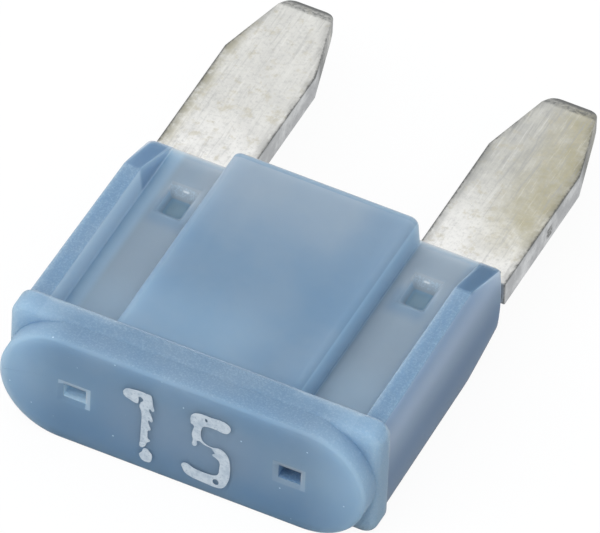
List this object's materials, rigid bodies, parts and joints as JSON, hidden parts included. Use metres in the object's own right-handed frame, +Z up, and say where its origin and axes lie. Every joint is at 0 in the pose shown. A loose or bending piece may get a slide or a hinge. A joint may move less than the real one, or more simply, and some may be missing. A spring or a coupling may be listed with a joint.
{
  "type": "blade fuse",
  "caption": "Flat plug-in fuse: a translucent blue moulded housing with a numbered end face, side by side tapered metal blades and a thin fusible link inside.",
  "frame": {"origin": "on the surface the fuse lies on, under the middle of its length and width", "axes": "+X across the blades, +Y from the numbered end face towards the blade tips, +Z up from the back"},
  "size_m": [0.0112, 0.0164, 0.0038],
  "materials": {
    "housing": "translucent milky blue, smooth, with a fine spark texture on the head and the ribs",
    "zinc": "dull zinc, finely scratched along its length",
    "ink": "thin worn print"
  },
  "bodies": {
    "root": {"housing": "housing", "fuse_element": "zinc", "figure_one": "ink", "figure_five": "ink"}
  },
  "joints": []
}
